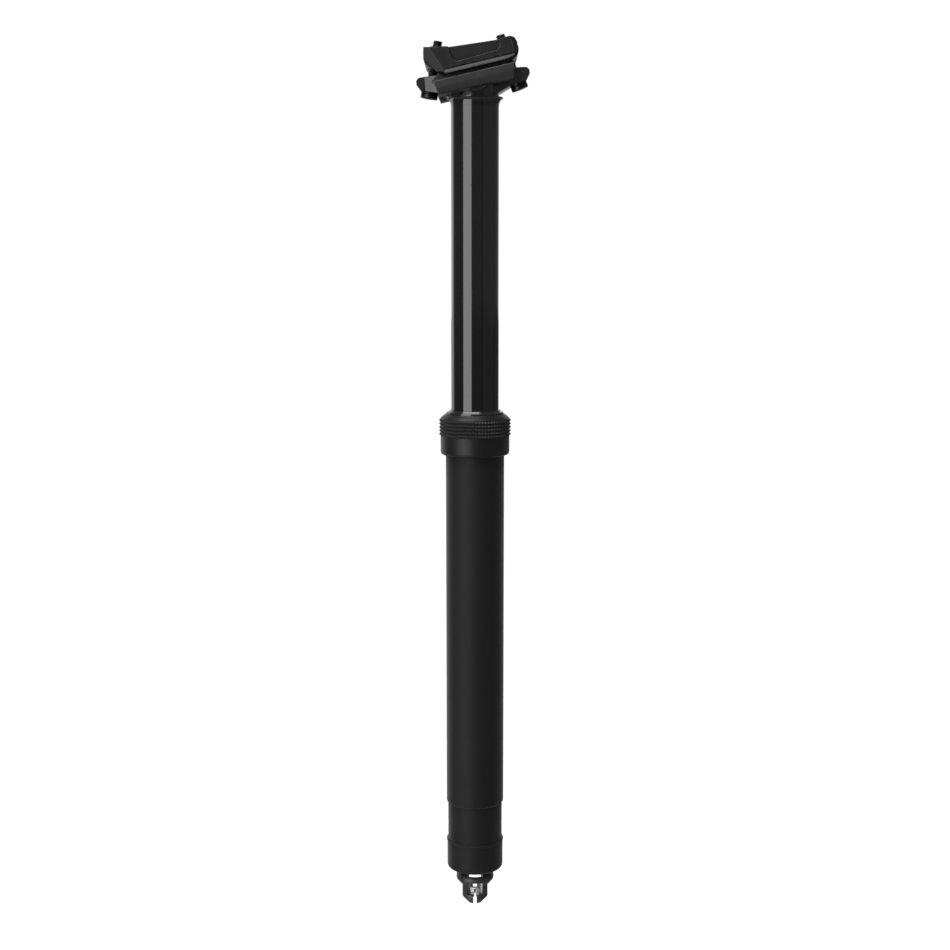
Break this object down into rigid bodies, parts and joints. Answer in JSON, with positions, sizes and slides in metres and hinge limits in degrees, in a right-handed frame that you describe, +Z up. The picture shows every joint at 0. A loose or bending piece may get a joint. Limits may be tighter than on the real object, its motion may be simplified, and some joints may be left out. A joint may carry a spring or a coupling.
{
  "type": "dropper seatpost",
  "caption": "Telescoping bicycle seatpost with a knurled collar, a tilting saddle-rail clamp, a gas cartridge and an open cable actuator at the base",
  "frame": {"origin": "On the post's axis at the underside of the collar, where the frame's seat tube ends", "axes": "+Z up along the post to the saddle, +X to the rear of the bicycle, +Y to the rider's right"},
  "size_m": [0.0593, 0.0522, 0.4759],
  "materials": {
    "satin_black": "satin anodised black",
    "gloss_black": "polished black anodised",
    "forged_black": "satin black over forged aluminium",
    "cage_grey": "dark grey hard anodised",
    "bolt_black": "black oxide steel",
    "plain_steel": "bright turned steel",
    "plain_aluminium": "turned aluminium",
    "rubber": "matt black rubber",
    "felt": "oiled felt",
    "bush_polymer": "sliding polymer",
    "brass": "plain brass"
  },
  "bodies": {
    "lower": {"outer_tube": "satin_black", "collar": "satin_black", "wiper_seal": "rubber", "collar_seal": "felt", "upper_bushing": "bush_polymer", "base_housing": "satin_black", "bottom_bumper": "rubber", "base_grub_screws": "bolt_black", "base_cap": "satin_black", "cable_cage": "cage_grey", "piston_rod": "plain_steel", "rod_nut": "bolt_black", "piston": "plain_aluminium", "piston_seal": "rubber"},
    "actuator": {"cable_carriage": "bush_polymer", "cable_barrel": "plain_steel", "valve_pull_rod": "plain_steel", "return_spring": "plain_steel"},
    "post": {"stanchion": "gloss_black", "head": "forged_black", "lower_guide": "bush_polymer", "guide_keys": "brass", "gas_cylinder": "plain_aluminium", "cylinder_end_cap": "plain_aluminium", "rod_seal": "rubber", "cylinder_top_plug": "plain_aluminium", "cartridge_lock_ring": "plain_aluminium", "front_washer": "plain_steel", "rear_washer": "plain_steel"},
    "floating": {"floating_piston": "plain_aluminium", "floating_seal": "rubber"},
    "clamp": {"lower_cradle": "forged_black", "upper_clamp": "forged_black"},
    "front_nut": {"front_nut": "plain_steel"},
    "rear_nut": {"rear_nut": "plain_steel"},
    "front_bolt": {"front_bolt": "bolt_black"},
    "rear_bolt": {"rear_bolt": "bolt_black"}
  },
  "joints": [
    {"name": "post_slide", "type": "slide", "parent": "lower", "child": "post", "axis": [0, 0, -1], "range_m": [0, 0.15], "stiffness_N_per_m": 400, "springref_m": -0.4},
    {"name": "actuator_pull", "type": "slide", "parent": "lower", "child": "actuator", "axis": [0, 0, -1], "range_m": [0, 0.0019], "stiffness_N_per_m": 2000, "springref_m": -0.004, "deforming": ["return_spring"]},
    {"name": "floating_piston_slide", "type": "slide", "parent": "post", "child": "floating", "axis": [0, 0, 1], "range_m": [0, 0.02299]},
    {"name": "clamp_tilt", "type": "hinge", "parent": "post", "child": "clamp", "pos_m": [-0.00158, 0, 0.20342], "axis": [0, 1, 0], "range_deg": [-6, 6]},
    {"name": "front_nut_turn", "type": "hinge", "parent": "clamp", "child": "front_nut", "pos_m": [-0.021, 0, 0.20671], "axis": [0, 1, 0], "range_deg": [-6, 6]},
    {"name": "rear_nut_turn", "type": "hinge", "parent": "clamp", "child": "rear_nut", "pos_m": [0.01681, 0, 0.21048], "axis": [0, 1, 0], "range_deg": [-6, 6]},
    {"name": "front_bolt_turn", "type": "hinge", "parent": "post", "child": "front_bolt", "pos_m": [-0.021, 0, 0.20671], "axis": [0.1669, 0, 0.986], "range_deg": [-930, 930]},
    {"name": "rear_bolt_turn", "type": "hinge", "parent": "post", "child": "rear_bolt", "pos_m": [0.01681, 0, 0.21048], "axis": [-0.3585, 0, 0.9335], "range_deg": [-930, 930]}
  ],
  "couplings": [
    {"joint": "floating_piston_slide", "follows": "post_slide", "ratio": 0.15123},
    {"joint": "front_bolt_turn", "follows": "clamp_tilt", "ratio": -154.71},
    {"joint": "rear_bolt_turn", "follows": "clamp_tilt", "ratio": 154.71},
    {"joint": "front_nut_turn", "follows": "clamp_tilt", "ratio": -1},
    {"joint": "rear_nut_turn", "follows": "clamp_tilt", "ratio": -1}
  ]
}
